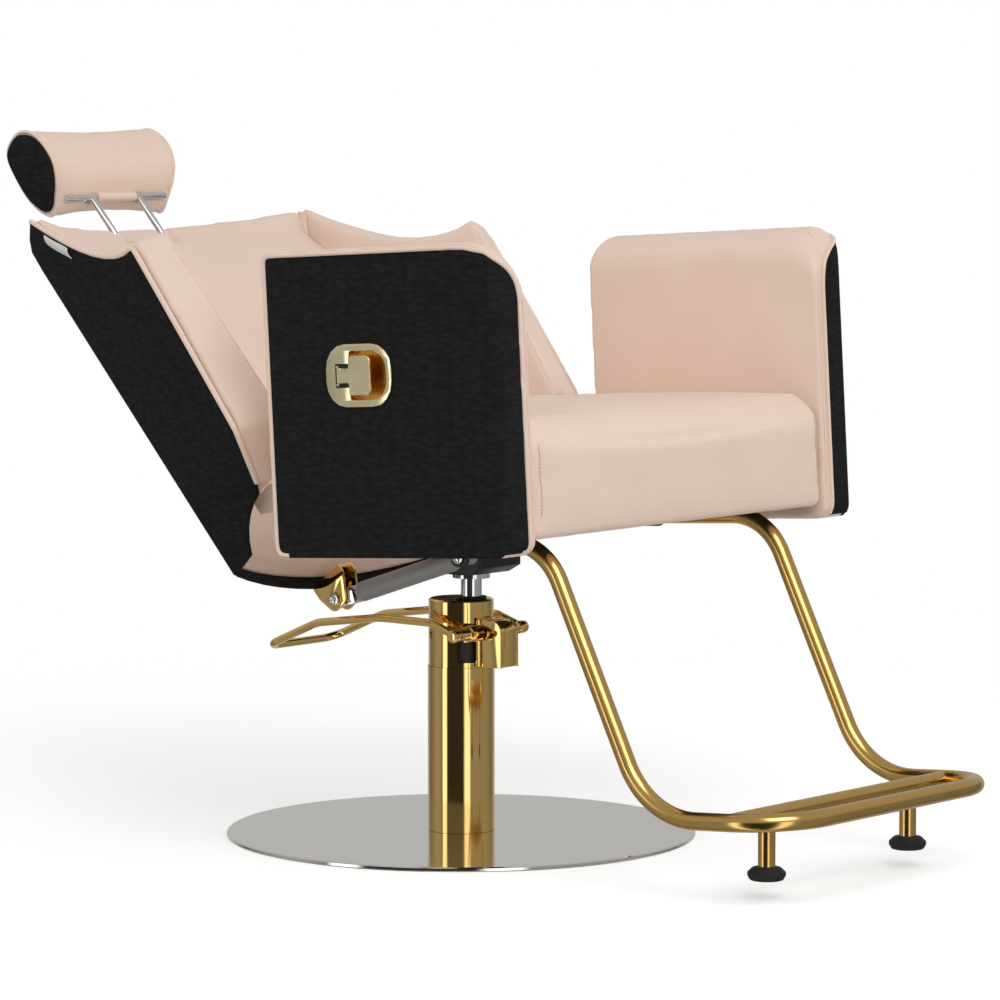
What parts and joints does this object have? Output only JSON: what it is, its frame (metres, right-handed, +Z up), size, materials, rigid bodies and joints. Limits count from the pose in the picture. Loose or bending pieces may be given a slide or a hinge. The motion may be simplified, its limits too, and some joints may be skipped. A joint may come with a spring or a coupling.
{
  "type": "barber chair",
  "caption": "Reclining salon chair with a winged back, deep arms, raised headrest, looped footrest, side latch and a pump column on a round floor plate.",
  "frame": {"origin": "centre of the round floor plate's underside, on the column's axis", "axes": "+Z up; the sitter faces -Y; +X is the sitter's left; the back leans towards +Y"},
  "size_m": [0.7071, 1.3744, 0.8931],
  "materials": {
    "stainless_steel": "polished",
    "polished_brass": "polished",
    "satin_brass": "satin",
    "pale_gold": "polished",
    "amber_enamel": "satin",
    "chrome_plate": "polished",
    "grey_enamel": "satin",
    "black_paint": "satin",
    "black_rubber": "matte",
    "blush_upholstery": "satin",
    "black_upholstery": "matte"
  },
  "bodies": {
    "base": {"base_plate": "stainless_steel", "column_tube": "polished_brass", "column_head": "polished_brass", "pump_cylinder": "chrome_plate", "ram_gland": "black_rubber", "pump_block": "polished_brass"},
    "pedal": {"pedal_shaft": "polished_brass", "pedal_hoop": "polished_brass"},
    "ram": {"piston_rod": "chrome_plate"},
    "seat": {"mount_block": "black_paint", "spring_mount": "black_paint", "spring_front_pin": "chrome_plate", "seat_frame": "black_paint", "seat_cushion": "blush_upholstery", "arm_pad_right": "blush_upholstery", "arm_panel_right": "black_upholstery", "arm_pad_left": "blush_upholstery", "arm_panel_left": "black_upholstery", "latch_plate": "pale_gold", "latch_cup": "amber_enamel", "latch_pin": "pale_gold", "footrest_tube": "satin_brass", "footrest_bar": "satin_brass", "foot_post_right": "satin_brass", "foot_pad_right": "black_rubber", "foot_post_left": "satin_brass", "foot_pad_left": "black_rubber", "tube_clamp_right": "black_paint", "tube_clamp_left": "black_paint", "hinge_ear_right": "black_paint", "hinge_ear_left": "black_paint", "hinge_pin_right": "chrome_plate", "hinge_pin_left": "chrome_plate", "release_cable": "black_rubber"},
    "latch": {"latch_paddle": "pale_gold"},
    "back": {"back_panel": "black_upholstery", "back_pad": "blush_upholstery", "back_side_right": "black_upholstery", "back_side_left": "black_upholstery", "wing_pad_right": "blush_upholstery", "wing_pad_left": "blush_upholstery", "hinge_arm_right": "black_paint", "hinge_arm_left": "black_paint", "spring_bracket": "polished_brass", "spring_rear_pin": "chrome_plate", "post_sleeve_right": "black_paint", "post_sleeve_left": "black_paint"},
    "spring_body": {"spring_cylinder": "grey_enamel"},
    "spring_plunger": {"spring_rod": "chrome_plate"},
    "headrest_slide": {"headrest_frame": "chrome_plate"},
    "headrest": {"headrest_cushion": "blush_upholstery", "headrest_end_right": "black_upholstery", "headrest_end_left": "black_upholstery"}
  },
  "joints": [
    {"name": "lift", "type": "slide", "parent": "base", "child": "ram", "axis": [0, 0, 1], "range_m": [0, 0.13]},
    {"name": "swivel", "type": "hinge", "parent": "ram", "child": "seat", "pos_m": [0, -0.017, 0.36], "axis": [0, 0, 1], "continuous": true},
    {"name": "pump_pedal", "type": "hinge", "parent": "base", "child": "pedal", "pos_m": [0, -0.0447, 0.264], "axis": [-1, 0, 0], "range_deg": [0, 20], "stiffness_Nm_per_rad": 5, "springref_deg": -25.78},
    {"name": "latch_swing", "type": "hinge", "parent": "seat", "child": "latch", "pos_m": [-0.3551, -0.1029, 0.6097], "axis": [0, -0.0611, -0.9981], "range_deg": [0, 25], "stiffness_Nm_per_rad": 0.05, "springref_deg": -11.46},
    {"name": "recline", "type": "hinge", "parent": "seat", "child": "back", "pos_m": [0, 0.045, 0.45], "axis": [1, 0, 0], "range_deg": [0, 20]},
    {"name": "spring_pivot", "type": "hinge", "parent": "seat", "child": "spring_body", "pos_m": [-0.06, -0.059, 0.3655], "axis": [1, 0, 0], "range_deg": [0, 12.87]},
    {"name": "spring_stroke", "type": "slide", "parent": "spring_body", "child": "spring_plunger", "axis": [0, 0.9508, -0.3099], "range_m": [0, 0.0361]},
    {"name": "headrest_height", "type": "slide", "parent": "back", "child": "headrest_slide", "axis": [0, 0.6639, 0.7478], "range_m": [-0.03, 0.05]},
    {"name": "headrest_tilt", "type": "hinge", "parent": "headrest_slide", "child": "headrest", "pos_m": [0, 0.604, 0.8043], "axis": [1, 0, 0], "range_deg": [-20, 20]}
  ],
  "couplings": [
    {"joint": "spring_pivot", "follows": "recline", "ratio": 0.6433},
    {"joint": "spring_stroke", "follows": "recline", "m_per_rad": 0.10339}
  ]
}
